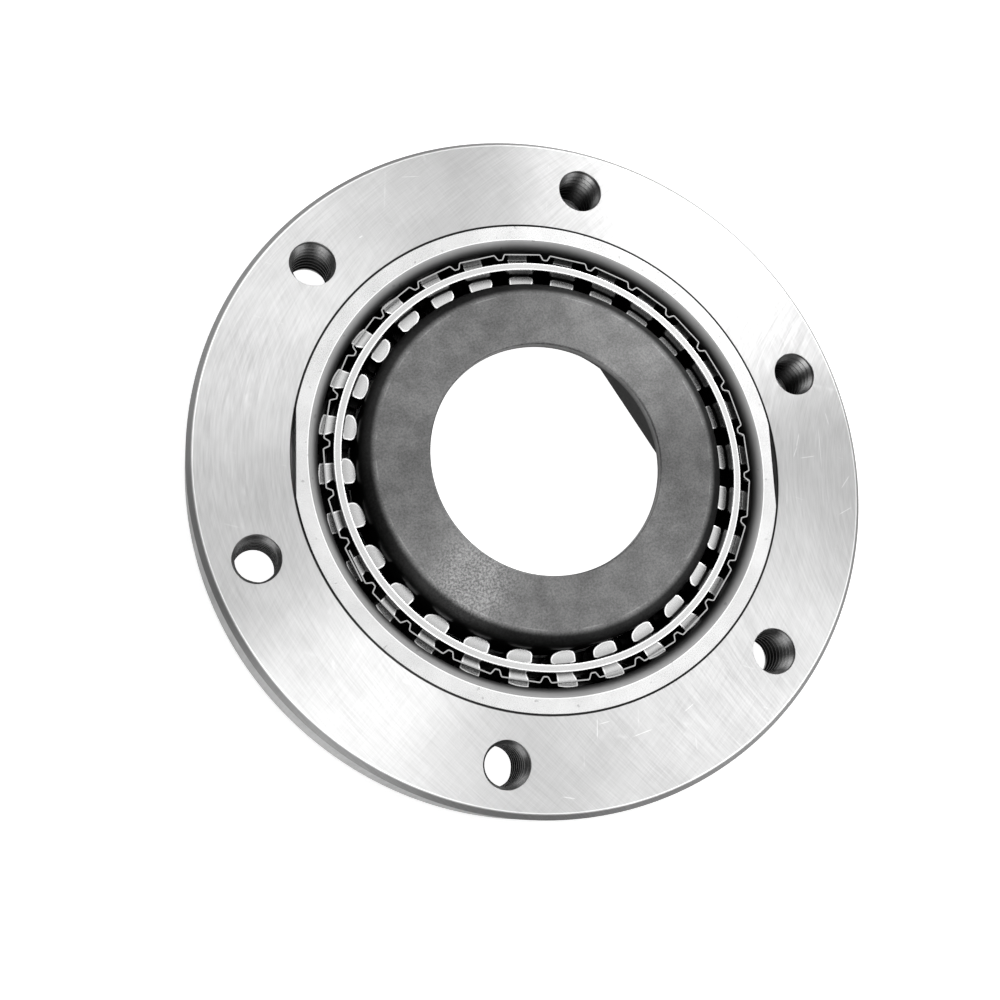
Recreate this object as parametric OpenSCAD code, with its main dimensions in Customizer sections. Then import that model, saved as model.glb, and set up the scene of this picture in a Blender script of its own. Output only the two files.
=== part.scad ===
// One-way clutch bearing: a bolt-on flange that carries a sprag clutch in its bore.
// The axis is Z. The rear face of the flange lies on z = 0 and its front face looks up.
// At rest the sprags are engaged. A sprag that tilts counter-clockwise, as seen from the
// front, lets go of both races.

/* [Flange] */
// Width of the flange's rim, from the middle of the bolt holes out to the edge
rim_w = 8.25; // [7:0.25:12]
// Thickness of the flange and of the outer race
flange_t = 12; // [12:0.5:16]
// Bevel along both rims of the flange
rim_bevel = 1.0; // [0.5:0.1:1.5]

/* [Bolt holes] */
// Distance from the seam round the outer race out to the middle of the bolt holes
bolt_inset = 8.5; // [7:0.25:10]
// Number of bolt holes
bolt_count = 6; // [4:1:8]
// Bore of each threaded hole, at the crests of an M8 thread
bolt_bore_d = 6.8; // [5:0.1:7]
// Mouth of each hole, where the entry bevel meets the face
bolt_mouth_d = 8.1; // [7.5:0.1:9]

/* [Outer race] */
// Inner track of the outer race, which the sprags press on. Every ring follows it
race_bore_d = 78; // [70:0.5:90]
// Wall of the outer race, from its track out to the seam
race_wall = 4.5; // [4.2:0.1:6]
// Radius of the rounded mouth at the front of the track
race_mouth_r = 1.7; // [1:0.1:2.5]
// How far the two flats cut into the outer race, clear of the flange's round bore
race_flat_depth = 0.87; // [0.5:0.01:1]
// Direction that the first flat faces, in degrees from +X
race_flat_angle = -20; // [-45:5:45]
// Bevel on the edges along the seam between flange and outer race
seam_bevel = 0.15; // [0.1:0.05:0.3]

/* [Inner race] */
// Space for the sprags between the two tracks, on the radius
sprag_space = 6.5; // [6.4:0.05:6.6]
// How far the inner race stands out of the flange's front face
hub_proud = 1.5; // [0.5:0.1:3]
// Radius of the rounded shoulder at the front of the inner race
hub_shoulder_r = 2.5; // [1:0.1:3.5]
// Width of the inner race's front, from its track in to the hole
hub_face_w = 12; // [10:0.5:15]
// Thickness of the front lip
hub_lip_t = 1.7; // [1:0.1:3]
// Wall of the inner race round the drive bore behind the lip
drive_wall = 6.5; // [5.5:0.25:7.5]
// How far the two flats of the drive bore stand in from its round wall
drive_flat_depth = 2; // [1:0.1:3]
// Direction that the drive flats face, in degrees from +X
drive_flat_angle = 12; // [-45:1:45]
// Bevel at the rear end of the inner race's track
hub_rear_bevel = 1.0; // [0.5:0.1:1.5]
// Height of the inner race above the flange's rear face
hub_rear_gap = 0.3; // [0.2:0.1:0.5]

/* [Sprags] */
// Number of sprags round the races
sprag_count = 28; // [24:1:28]
// Direction of the first sprag, in degrees from +X
sprag_start = 9.44; // [0:0.01:12]
// Depth of the sprags' front ends below the flange's front face
sprag_recess = 2.9; // [2.6:0.1:3.3]
// Height of the sprags' rear ends above the cage's collar
sprag_lift = 1.14; // [0.8:0.02:2]
// Radius of the cam that presses on the outer race
outer_cam_r = 8; // [7:0.5:9]
// Radius of the cam that presses on the inner race
inner_cam_r = 4.0; // [3.8:0.1:4.4]
// Sideways place of the outer cam's centre, which sets the gripping angle
outer_cam_side = 0.9; // [0.8:0.05:1]
// Sideways place of the inner cam's centre
inner_cam_side = 0.4; // [0.3:0.02:0.44]
// Width of a sprag's foot, beside the inner race
foot_w = 4.45; // [4:0.05:4.6]
// Width of a sprag's head, beside the outer race
head_w = 3.6; // [3.3:0.1:3.8]
// Width of a sprag's waist, in the cage window
waist_w = 2.9; // [2.5:0.1:3]
// How far the foot's middle lies to the trailing side
foot_shift = 0.05; // [0:0.01:0.1]
// How far the head's middle lies to the leading side
head_shift = 0.28; // [0:0.02:0.3]
// How far the waist's middle lies to the trailing side
waist_shift = 0.12; // [0:0.02:0.2]
// Rounding where the foot's cam runs into the trailing side
soft_corner_r = 1.3; // [1:0.1:1.4]
// Rounding where the foot's cam runs into the leading side
tight_corner_r = 0.9; // [0.6:0.1:1]
// Rounding of the two corners of the head
head_corner_r = 0.25; // [0.15:0.05:0.4]

/* [Cage] */
// Wall of the cage ring
cage_wall = 1.35; // [1:0.05:1.4]
// Depth of the cage and ribbon spring below the flange's front face
cage_recess = 0.4; // [0.3:0.1:1]
// How far the cage's rear collar reaches out beyond the outer race's track
collar_reach = 1.5; // [1:0.1:1.8]
// Thickness of the cage's rear collar
collar_t = 0.8; // [0.6:0.1:0.9]
// Bevel on the front edges of the cage
cage_bevel = 0.2; // [0.1:0.05:0.3]
// How far the middle of the cage's wall lies outside the sprags' pitch circle
cage_shift = 0.08; // [0:0.02:0.1]

/* [Ribbon spring] */
// Thickness of the spring strip
ribbon_t = 0.22; // [0.15:0.01:0.3]
// Gap from the middle of the strip to the outer race's track
ribbon_standoff = 0.83; // [0.75:0.01:0.95]
// How deep the strip dips between two sprags
dip_depth = 0.98; // [0.6:0.02:1.1]
// Width of a dip at its mouth
dip_w = 2.1; // [1.8:0.1:2.4]
// Radius of the hooked tongue that presses on each sprag's head
tongue_r = 0.71; // [0.6:0.01:0.75]
// Height of the tongue along the axis
tongue_h = 2.4; // [1.5:0.1:3]
// Thickness of the tongue
tongue_t = 0.18; // [0.12:0.01:0.2]
// How far the centre of the tongue's bend lies inside the strip's middle line
tongue_inset = 0.39; // [0.36:0.01:0.42]
// How far the centre of the tongue's bend lies beyond the head's leading side
tongue_lead = 0.62; // [0.6:0.01:0.66]
// Angle at which the tongue's bend ends
tongue_end = 222; // [200:1:224]
// How far the strip's inner lapped end drops
lap_drop = 0.45; // [0.4:0.01:0.5]
// How far the strip's outer lapped end lifts
lap_lift = 0.3; // [0.2:0.01:0.35]

/* [Snap ring] */
// Thickness of the snap ring
snap_t = 0.8; // [0.6:0.1:0.9]
// Depth of the snap ring's groove in the outer race
snap_groove = 0.9; // [0.6:0.1:1]
// Width of the snap ring between its inner and outer edge
snap_w = 2.4; // [2:0.1:2.6]
// Opening between the snap ring's two ends
snap_opening = 9; // [6:0.5:14]
// Wall of the outer race behind the snap ring's groove
snap_wall = 0.6; // [0.5:0.1:0.8]

/* [Fits and clearances] */
// Gap between the outer race and the flange, on the radius
seam_fit = 0.03; // [0.02:0.01:0.05]
// Gap between an engaged cam and its race
cam_fit = 0.03; // [0.02:0.01:0.04]
// Gap between a sprag's waist and the sides of its window
window_side_gap = 0.4; // [0.3:0.05:0.5]
// Gap between a sprag's end and the end of its window
window_end_gap = 0.3; // [0.2:0.05:0.4]
// Gap between the cage's collar and what holds it, along the axis
collar_gap = 0.1; // [0.05:0.05:0.15]
// Gap between the cage's collar and the outer race, on the radius
collar_side_gap = 0.5; // [0.3:0.1:0.8]
// Gap between the cage's collar and the inner race, on the radius
collar_hub_gap = 0.5; // [0.4:0.1:0.8]
// Gap between the snap ring and the sides of its groove
groove_gap = 0.03; // [0.02:0.01:0.05]
// Gap between the snap ring and the bottom of its groove, on the radius
groove_depth_gap = 0.1; // [0.05:0.05:0.2]
// Gap between a sprag's head and the sides of its opening in the ribbon spring
ribbon_side_gap = 0.5; // [0.4:0.05:0.6]
// Gap between a sprag's foot and the inside of the cage
foot_cage_gap = 0.5; // [0.4:0.05:0.6]

/* [Hidden] */
$fn = 144;
eps = 0.01;

race_bore_r = race_bore_d / 2;
race_outer_r = race_bore_r + race_wall;
bolt_circle_r = race_outer_r + bolt_inset;
flange_r = bolt_circle_r + rim_w;
hub_track_r = race_bore_r - sprag_space;
hub_hole_r = hub_track_r - hub_face_w;
drive_bore_r = hub_track_r - drive_wall;
pitch_r = race_bore_r - sprag_space / 2;
pitch_angle = 360 / sprag_count;

collar_r = race_bore_r + collar_reach;
collar_in_r = hub_track_r + collar_hub_gap;
collar_seat_r = collar_r + collar_side_gap;
snap_z = snap_wall + groove_gap;
collar_z = snap_z + snap_t + groove_gap + collar_gap;
collar_seat_z = collar_z + collar_t + collar_gap;
cage_top = flange_t - cage_recess;
cage_in_r = pitch_r + cage_shift - cage_wall / 2;
cage_out_r = cage_in_r + cage_wall;

sprag_top = flange_t - sprag_recess;
sprag_base = collar_z + collar_t + sprag_lift;
sprag_len = sprag_top - sprag_base;
window_h = sprag_len + 2 * window_end_gap;
window_z = sprag_base - window_end_gap;

ribbon_r = race_bore_r - ribbon_standoff;
ribbon_z = collar_seat_z + collar_gap;
hub_top = flange_t + hub_proud;
lip_edge = 0.3;

// Sprag section, in the sprag's own axes: x points away from the bearing's axis, y is the
// counter-clockwise side, and the origin is the sprag's centre on the pitch circle.
foot_lead = foot_w / 2 - foot_shift;
foot_trail = -foot_w / 2 - foot_shift;
head_lead = head_shift + head_w / 2;
head_trail = head_shift - head_w / 2;
waist_lead = waist_w / 2 - waist_shift;
waist_trail = -waist_w / 2 - waist_shift;
foot_end_x = cage_in_r - pitch_r - foot_cage_gap;
foot_fillet = 0.3;
cam_trim = 2;
waist_start_x = foot_end_x + foot_fillet;
waist_end_x = 0.3;
head_start_x = 2.2;

outer_reach = race_bore_r - cam_fit - outer_cam_r;
inner_reach = hub_track_r + cam_fit + inner_cam_r;
outer_cam = [sqrt(outer_reach * outer_reach - outer_cam_side * outer_cam_side) - pitch_r, outer_cam_side];
inner_cam = [sqrt(inner_reach * inner_reach - inner_cam_side * inner_cam_side) - pitch_r, inner_cam_side];

window_lead = waist_lead + window_side_gap;
window_trail = waist_trail - window_side_gap;
slot_lead = head_lead + ribbon_side_gap;
slot_trail = head_trail - ribbon_side_gap;
lap_slot = round(sprag_count / 2) + 1;
lap_run = 0.5;
dip_tip_w = dip_w / 3.5;
strip_x = ribbon_r - pitch_r;
tongue_center = [strip_x - tongue_inset, head_lead + tongue_lead];
tongue_root = strip_x - ribbon_t / 2;

// How far a cut runs past the body that it is taken from
over = 1;

function sprag_name(i) = str("sprag_", i < 10 ? "0" : "", i);
function sprag_angle(i) = sprag_start + (i - 1) * pitch_angle;

function arc(center, r, from, to, steps) =
    [for (k = [0 : steps]) let (a = from + (to - from) * k / steps) center + r * [cos(a), sin(a)]];
function ease(t) = t <= 0 ? 0 : t >= 1 ? 1 : t * t * (3 - 2 * t);
function blend(a, b, t) = a + (b - a) * ease(t);
function angle_of(v) = atan2(v[1], v[0]);
function unit(v) = v / norm(v);

// Half outline of a sprag's flank at height x
function flank(x, foot, waist, head) =
    x < waist_end_x
        ? blend(foot, waist, (x - foot_end_x) / (waist_start_x - foot_end_x))
        : blend(waist, head, (x - waist_end_x) / (head_start_x - waist_end_x));

// Centre of the round that joins a cam (end = 1 outer, -1 inner) to a straight flank
function corner_center(cam, cam_r, flank_y, r, end) =
    let (
        y = flank_y - sign(flank_y) * r,
        reach = cam_r - r,
        rise = y - cam[1]
    )
    [cam[0] + end * sqrt(reach * reach - rise * rise), y];

function flank_points(from_x, to_x, foot, waist, head, steps) =
    [for (k = [1 : steps - 1])
        let (x = from_x + (to_x - from_x) * k / steps) [x, flank(x, foot, waist, head)]];

function sprag_points() =
    let (
        foot_l = corner_center(inner_cam, inner_cam_r, foot_lead, tight_corner_r, -1),
        foot_t = corner_center(inner_cam, inner_cam_r, foot_trail, soft_corner_r, -1),
        head_l = corner_center(outer_cam, outer_cam_r, head_lead, head_corner_r, 1),
        head_t = corner_center(outer_cam, outer_cam_r, head_trail, head_corner_r, 1),
        foot_from = angle_of(foot_l - inner_cam),
        foot_to = angle_of(foot_t - inner_cam) + 360,
        head_from = angle_of(head_t - outer_cam),
        head_to = angle_of(head_l - outer_cam)
    )
    concat(
        arc(foot_l, tight_corner_r, 90, foot_from, 6),
        arc(inner_cam, inner_cam_r, foot_from + cam_trim, foot_to - cam_trim, 14),
        arc(foot_t, soft_corner_r, foot_to, 270, 6),
        flank_points(foot_t[0], head_t[0], foot_trail, waist_trail, head_trail, 22),
        arc(head_t, head_corner_r, -90, head_from, 5),
        arc(outer_cam, outer_cam_r, head_from + cam_trim, head_to - cam_trim, 14),
        arc(head_l, head_corner_r, head_to, 90, 5),
        flank_points(head_l[0], foot_l[0], foot_lead, waist_lead, head_lead, 22)
    );

// Middle line of the ribbon spring: straight between the dips, from its inner lapped end
// round to its outer lapped end, which lies over the inner one in the slot of lap_slot
function dip_drop(side) = dip_depth * ease(1 - (abs(side) - dip_tip_w / 2) / (dip_w / 2 - dip_tip_w / 2));
function on_circle(r, angle) = r * [cos(angle), sin(angle)];
function mm_to_deg(length) = length / ribbon_r * 180 / PI;
function lap_start() = sprag_angle(lap_slot) - pitch_angle / 2;

function dip_line(angle) =
    [for (k = [-6 : 6])
        let (side = k / 6 * dip_w / 2) on_circle(ribbon_r - dip_drop(side), angle + mm_to_deg(side))];

function ribbon_line() =
    concat(
        [on_circle(ribbon_r - lap_drop, lap_start() + mm_to_deg(dip_w / 2 + lap_run))],
        [for (n = [1 : sprag_count - 1]) each dip_line(lap_start() + n * pitch_angle)],
        dip_line(lap_start() + 360),
        [on_circle(ribbon_r + lap_lift, lap_start() + 360 + pitch_angle - mm_to_deg(dip_w / 2 + lap_run))]
    );

// Outline of a strip of thickness t along an open line
function side_step(line, k) =
    let (
        before = line[max(k - 1, 0)],
        after = line[min(k + 1, len(line) - 1)],
        along = unit(after - before)
    )
    [along[1], -along[0]];
function strip_points(line, t) =
    concat(
        [for (k = [0 : len(line) - 1]) line[k] + side_step(line, k) * t / 2],
        [for (k = [len(line) - 1 : -1 : 0]) line[k] - side_step(line, k) * t / 2]
    );

function tongue_line() =
    concat(
        [[tongue_root, tongue_center[1] + tongue_r]],
        arc(tongue_center, tongue_r, 90, tongue_end, 12)
    );

module at_sprag(i) {
    rotate([0, 0, sprag_angle(i)]) translate([pitch_r, 0, 0]) children();
}

// A slab between two parallel flats that face along angle and angle + 180
module between_flats(flat_r, angle, reach, h) {
    rotate([0, 0, angle]) translate([-flat_r, -reach, 0]) cube([2 * flat_r, 2 * reach, h]);
}

module bevelled_cylinder(r, h, bevel) {
    rotate_extrude()
        polygon([[0, 0], [r - bevel, 0], [r, bevel], [r, h - bevel], [r - bevel, h], [0, h]]);
}

module bolt_hole() {
    bevel = (bolt_mouth_d - bolt_bore_d) / 2;
    translate([0, 0, -over]) cylinder(h = flange_t + 2 * over, d = bolt_bore_d);
    translate([0, 0, flange_t - bevel])
        cylinder(h = bevel + eps, d1 = bolt_bore_d, d2 = bolt_mouth_d + 2 * eps);
    translate([0, 0, -eps])
        cylinder(h = bevel + eps, d1 = bolt_mouth_d + 2 * eps, d2 = bolt_bore_d);
}

module mounting_flange() {
    seat_r = race_outer_r + seam_fit;
    color("gainsboro")
    difference() {
        bevelled_cylinder(flange_r, flange_t, rim_bevel);
        translate([0, 0, -over]) cylinder(h = flange_t + 2 * over, r = seat_r);
        translate([0, 0, flange_t - seam_bevel])
            cylinder(h = seam_bevel + eps, r1 = seat_r, r2 = seat_r + seam_bevel);
        for (n = [0 : bolt_count - 1])
            rotate([0, 0, n * 360 / bolt_count]) translate([bolt_circle_r, 0, 0]) bolt_hole();
    }
}

module race_hollow() {
    mouth_z = flange_t - race_mouth_r;
    groove_r = collar_seat_r + snap_groove;
    groove_top = snap_z + snap_t + groove_gap;
    rotate_extrude()
        difference() {
            polygon([
                [0, -over], [collar_seat_r, -over], [collar_seat_r, snap_z - groove_gap],
                [groove_r, snap_z - groove_gap], [groove_r, groove_top], [collar_seat_r, groove_top],
                [collar_seat_r, collar_seat_z], [race_bore_r, collar_seat_z], [race_bore_r, mouth_z],
                [race_bore_r + race_mouth_r, mouth_z], [race_bore_r + race_mouth_r, flange_t + over],
                [0, flange_t + over]
            ]);
            translate([race_bore_r + race_mouth_r, mouth_z]) circle(r = race_mouth_r);
        }
}

module outer_race() {
    color("whitesmoke")
    difference() {
        intersection() {
            bevelled_cylinder(race_outer_r, flange_t, seam_bevel);
            between_flats(race_outer_r - race_flat_depth, race_flat_angle, race_outer_r + over, flange_t);
        }
        race_hollow();
    }
}

module sprag_cage() {
    color("white")
    difference() {
        rotate_extrude()
            polygon([
                [collar_in_r, collar_z], [collar_r, collar_z], [collar_r, collar_z + collar_t],
                [cage_out_r, collar_z + collar_t], [cage_out_r, cage_top - cage_bevel],
                [cage_out_r - cage_bevel, cage_top], [cage_in_r + cage_bevel, cage_top],
                [cage_in_r, cage_top - cage_bevel], [cage_in_r, collar_z + collar_t],
                [collar_in_r, collar_z + collar_t]
            ]);
        for (i = [1 : sprag_count])
            at_sprag(i) translate([-cage_wall * 2, window_trail, window_z])
                cube([cage_wall * 4, window_lead - window_trail, window_h]);
    }
}

module ribbon_spring() {
    tongue_z = sprag_base + (sprag_len - tongue_h) / 2;
    color("silver")
    union() {
        difference() {
            translate([0, 0, ribbon_z]) linear_extrude(height = cage_top - ribbon_z)
                polygon(strip_points(ribbon_line(), ribbon_t));
            for (i = [1 : sprag_count])
                at_sprag(i) translate([0, slot_trail, window_z])
                    cube([race_bore_r - pitch_r + over, slot_lead - slot_trail, window_h]);
        }
        for (i = [1 : sprag_count])
            at_sprag(i) translate([0, 0, tongue_z]) linear_extrude(height = tongue_h)
                polygon(strip_points(tongue_line(), tongue_t));
    }
}

module sprag(i) {
    color("lightgray")
    at_sprag(i) translate([0, 0, sprag_base]) linear_extrude(height = sprag_len) polygon(sprag_points());
}

module inner_race() {
    drive_depth = hub_top - hub_lip_t - hub_rear_gap;
    color("dimgray")
    difference() {
        rotate_extrude()
            difference() {
                polygon([
                    [0, hub_rear_gap], [hub_track_r - hub_rear_bevel, hub_rear_gap],
                    [hub_track_r, hub_rear_gap + hub_rear_bevel], [hub_track_r, hub_top], [0, hub_top]
                ]);
                translate([hub_track_r - hub_shoulder_r, hub_top - hub_shoulder_r])
                    difference() {
                        square(hub_shoulder_r + over);
                        circle(r = hub_shoulder_r);
                    }
            }
        translate([0, 0, hub_rear_gap - over]) cylinder(h = hub_top + over, r = hub_hole_r);
        translate([0, 0, hub_top - lip_edge])
            cylinder(h = lip_edge + eps, r1 = hub_hole_r, r2 = hub_hole_r + lip_edge);
        translate([0, 0, hub_rear_gap - over])
            intersection() {
                cylinder(h = drive_depth + over, r = drive_bore_r);
                between_flats(
                    drive_bore_r - drive_flat_depth, drive_flat_angle, drive_bore_r + over, drive_depth + over
                );
            }
    }
}

module rear_snap_ring() {
    outer_r = collar_seat_r + snap_groove - groove_depth_gap;
    color("slategray")
    translate([0, 0, snap_z])
    difference() {
        cylinder(h = snap_t, r = outer_r);
        translate([0, 0, -over]) cylinder(h = snap_t + 2 * over, r = outer_r - snap_w);
        rotate([0, 0, race_flat_angle + 90]) translate([0, -snap_opening / 2, -over])
            cube([outer_r + over, snap_opening, snap_t + 2 * over]);
    }
}

mounting_flange();
outer_race();
sprag_cage();
ribbon_spring();
inner_race();
rear_snap_ring();
for (i = [1 : sprag_count])
    sprag(i);
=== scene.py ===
# %% [markdown]
# # A one-way bearing
# This lesson dresses a CAD model of a one-way bearing: a bolt-on flange that carries a ring of
# sprags, which let the dark inner race turn one way and lock it the other way. The CAD solids
# give every piece its place and size. Blender adds what a lathe, a grinder and a hardening bath
# leave behind: edge rounds, threads, brush marks, scratches and finishes.

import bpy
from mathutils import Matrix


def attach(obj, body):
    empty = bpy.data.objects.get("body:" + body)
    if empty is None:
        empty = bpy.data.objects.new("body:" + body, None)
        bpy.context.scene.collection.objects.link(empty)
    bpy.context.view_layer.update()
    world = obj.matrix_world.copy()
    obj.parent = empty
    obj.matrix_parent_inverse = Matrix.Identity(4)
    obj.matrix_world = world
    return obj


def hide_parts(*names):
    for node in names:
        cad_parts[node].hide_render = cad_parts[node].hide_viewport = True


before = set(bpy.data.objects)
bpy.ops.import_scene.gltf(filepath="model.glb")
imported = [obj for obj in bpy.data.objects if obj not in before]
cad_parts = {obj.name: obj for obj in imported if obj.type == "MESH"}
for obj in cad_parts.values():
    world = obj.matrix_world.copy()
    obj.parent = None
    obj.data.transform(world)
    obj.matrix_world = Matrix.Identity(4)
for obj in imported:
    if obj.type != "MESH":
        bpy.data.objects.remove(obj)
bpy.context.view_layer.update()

# %% Modules and units
import math

import bmesh
import bpy
from mathutils import Matrix, Vector

MM = 0.001
scene = bpy.context.scene
print("CAD nodes:", len(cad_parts))

# %% [markdown]
# ## Sizes
# The sizes are the ones that the CAD model was built with, in millimetres, with angles in
# degrees. Writing them once at the top keeps the turned rings, the threads and the spring strip
# in step with the solids.

# %% Sizes in millimetres and degrees
# Flange, its six holes and their threads
FLANGE_R, FLANGE_T, RIM_BEVEL = 60.25, 12.0, 1.0
BOLT_CIRCLE_R, BOLT_COUNT = 52.0, 6
THREAD_CREST_R, THREAD_ROOT_R, THREAD_PITCH = 3.4, 4.0, 1.25
# Outer race: rim, rounded mouth and the two flats, then the seat and groove in its rear
RACE_OUTER_R, RACE_BORE_R, RACE_MOUTH_R = 43.5, 39.0, 1.7
RACE_FLAT_R, RACE_FLAT_TURN = RACE_OUTER_R - 0.87, -20.0
MOUTH_END_R = RACE_BORE_R + RACE_MOUTH_R
SEAT_R, SEAT_TOP, GROOVE_R, GROOVE_LOW, GROOVE_HIGH = 41.0, 2.46, 41.9, 0.6, 1.46
# Inner race: the track that the sprags touch, the front lip, and the drive bore behind it
HUB_TRACK_R, HUB_HOLE_R, HUB_TOP, HUB_LIP, HUB_REAR = 32.5, 20.5, 13.5, 1.7, 0.3
HUB_CHAMFER, HUB_SHOULDER = 1.0, 2.5
DRIVE_BORE_R, DRIVE_FLAT_R, DRIVE_TURN = 26.0, 24.0, 12.0
# Sprags: their number, the angle of the first, the circle that they stand on and their ends
SPRAG_COUNT, SPRAG_START, PITCH_R = 28, 9.44, 35.75
SPRAG_LOW, SPRAG_HIGH = 3.5, 9.1
# Cage: its wall, its rear collar, its windows, and how far the window and slot knives reach
CAGE_IN_R, CAGE_OUT_R, CAGE_TOP = 35.155, 36.505, 11.6
COLLAR_IN_R, COLLAR_OUT_R, COLLAR_LOW, COLLAR_HIGH = 33.0, 40.5, 1.56, 2.36
WINDOW_LOW, WINDOW_HIGH, WINDOW_TRAIL, WINDOW_LEAD = 3.2, 9.4, -1.97, 1.73
WINDOW_REACH, SLOT_REACH = 2.7, 4.3
# Ribbon spring: strip, dips, lapped ends, slots for the sprags, and hooked tongues
STRIP_R, STRIP_T, STRIP_LOW = 38.17, 0.22, 2.56
DIP_DEPTH, DIP_W = 0.98, 2.1
LAP_SLOT, LAP_RUN, LAP_DROP, LAP_LIFT = 15, 0.5, 0.45, 0.3
SLOT_TRAIL, SLOT_LEAD = -2.02, 2.58
TONGUE_X, TONGUE_Y, TONGUE_R, TONGUE_T = 2.03, 2.70, 0.71, 0.18
TONGUE_LOW, TONGUE_HIGH, TONGUE_END = 5.1, 7.5, 222
# Height of the snap ring's bright end, and the angle from one sprag to the next
RING_TOP = 1.4
SPRAG_STEP = 360 / SPRAG_COUNT
print("sprags:", SPRAG_COUNT, "one every", round(SPRAG_STEP, 2), "degrees")

# %% [markdown]
# ## Helpers for nodes
# Materials and Geometry Nodes are both made of nodes with sockets, so one small function can
# add a node, set it and connect it in either kind of tree.

# %% Node helpers
def node(tree, kind, given=None, **settings):
    """Adds a node. given maps an input's name or number to a value or to another node's output."""
    made = tree.nodes.new(kind)
    for key, value in settings.items():
        setattr(made, key, value)
    for key, value in (given or {}).items():
        if isinstance(value, bpy.types.NodeSocket):
            tree.links.new(value, made.inputs[key])
        else:
            made.inputs[key].default_value = value
    return made


def calc(tree, operation, *values):
    """One Math node, whose inputs are numbers or outputs of other nodes."""
    return node(tree, "ShaderNodeMath", dict(enumerate(values)), operation=operation).outputs[0]


def times(tree, first, *others):
    """The product of two or more numbers or outputs."""
    for other in others:
        first = calc(tree, "MULTIPLY", first, other)
    return first


def plus(tree, first, *others):
    """The sum of two or more numbers or outputs."""
    for other in others:
        first = calc(tree, "ADD", first, other)
    return first


def vector_calc(tree, operation, *values):
    """One Vector Math node. A length and a dot product come out as numbers."""
    made = node(tree, "ShaderNodeVectorMath", dict(enumerate(values)), operation=operation)
    return made.outputs["Value"] if operation in ("DOT_PRODUCT", "LENGTH") else made.outputs[0]


def ramp(tree, value, low, high, to_low=0.0, to_high=1.0, smooth=True):
    """Maps low..high to to_low..to_high and holds the ends."""
    made = node(tree, "ShaderNodeMapRange", {0: value, 1: low, 2: high, 3: to_low, 4: to_high})
    made.interpolation_type = "SMOOTHSTEP" if smooth else "LINEAR"
    return made.outputs[0]


def names(*helpers):
    """The names of helpers, for the line that a cell prints."""
    return [helper.__name__ for helper in helpers]


print("node helpers:", names(node, calc, times, plus, vector_calc, ramp))

# %% [markdown]
# ## Turned rings
# The flange, the two races and the cage are lathe work: one outline turned round the axis.
# They could be spun with the Screw modifier, but a few lines that lay rings of points give
# exact control of the number of steps. Each corner of the outline gets a small round, because
# a real edge is never perfectly sharp and its round is what catches the light.

# %% Rounded outline
# A point this far beyond each round keeps the flat beside it evenly shaded
HOLD = 0.05


def rounded(corners, steps=4):
    """Outline of (x, y, round) corners with every corner replaced by a small arc."""
    points = []
    for k, (x, y, r) in enumerate(corners):
        here = Vector((x, y))
        before = Vector(corners[k - 1][:2]) - here
        after = Vector(corners[(k + 1) % len(corners)][:2]) - here
        if r <= 0:
            points.append(here)
            continue
        half = before.angle(after) / 2
        before.normalize()
        after.normalize()
        reach = r / math.tan(half)
        a, b = here + before * reach, here + after * reach
        centre = here + (before + after).normalized() * (r / math.sin(half))
        turn = (a - centre).angle_signed(b - centre)
        points.append(a + before * HOLD)
        for s in range(steps + 1):
            arm = a - centre
            arm.rotate(Matrix.Rotation(-turn * s / steps, 2))
            points.append(centre + arm)
        points.append(b + after * HOLD)
    return [(p.x, p.y) for p in points]


print("a rounded square has", len(rounded([(0, 0, 1), (4, 0, 1), (4, 4, 1), (0, 4, 1)])), "points")

# %% Meshes and objects
def new_mesh(name, points, faces):
    """A closed mesh whose faces all look outwards."""
    mesh = bpy.data.meshes.new(name)
    mesh.from_pydata(points, [], faces)
    face_outwards(mesh)
    return mesh


def face_outwards(mesh, merge=0.0):
    """Turns the faces outwards, after merging points that lie closer than merge, if given."""
    work = bmesh.new()
    work.from_mesh(mesh)
    if merge:
        bmesh.ops.remove_doubles(work, verts=work.verts, dist=merge)
        bmesh.ops.dissolve_degenerate(work, edges=work.edges, dist=merge / 10)
    bmesh.ops.recalc_face_normals(work, faces=work.faces)
    work.to_mesh(mesh)
    work.free()


def to_object(name, mesh, sharp=35):
    """A mesh becomes an object in the scene, smooth but for edges that turn more than sharp."""
    for polygon in mesh.polygons:
        polygon.use_smooth = True
    mesh.set_sharp_from_angle(angle=math.radians(sharp))
    obj = bpy.data.objects.new(name, mesh)
    scene.collection.objects.link(obj)
    return obj


def turned(name, outline, steps=288):
    """Turns an outline of (radius, height) points in millimetres round the Z axis."""
    count = len(outline)
    angles = [2 * math.pi * s / steps for s in range(steps)]
    points = [
        (r * math.cos(a) * MM, r * math.sin(a) * MM, z * MM) for a in angles for r, z in outline
    ]
    faces = [
        (s * count + k, (s + 1) % steps * count + k,
         (s + 1) % steps * count + (k + 1) % count, s * count + (k + 1) % count)
        for s in range(steps) for k in range(count)
    ]
    return new_mesh(name, points, faces)


def prism(name, outline, low, high):
    """Closed block with an outline in millimetres, from height low to height high."""
    count = len(outline)
    points = [(x * MM, y * MM, z * MM) for z in (low, high) for x, y in outline]
    faces = [tuple(range(count)), tuple(range(count, 2 * count))]
    faces += [(k, (k + 1) % count, (k + 1) % count + count, k + count) for k in range(count)]
    return new_mesh(name, points, faces)


print("mesh helpers:", names(new_mesh, to_object, turned, prism))

# %% [markdown]
# ## Cutting
# Flats and bores are milled or bored out of a turned blank. Here a Boolean modifier does the
# same. Its result is taken as a plain mesh, so no knife stays behind in the scene.

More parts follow.
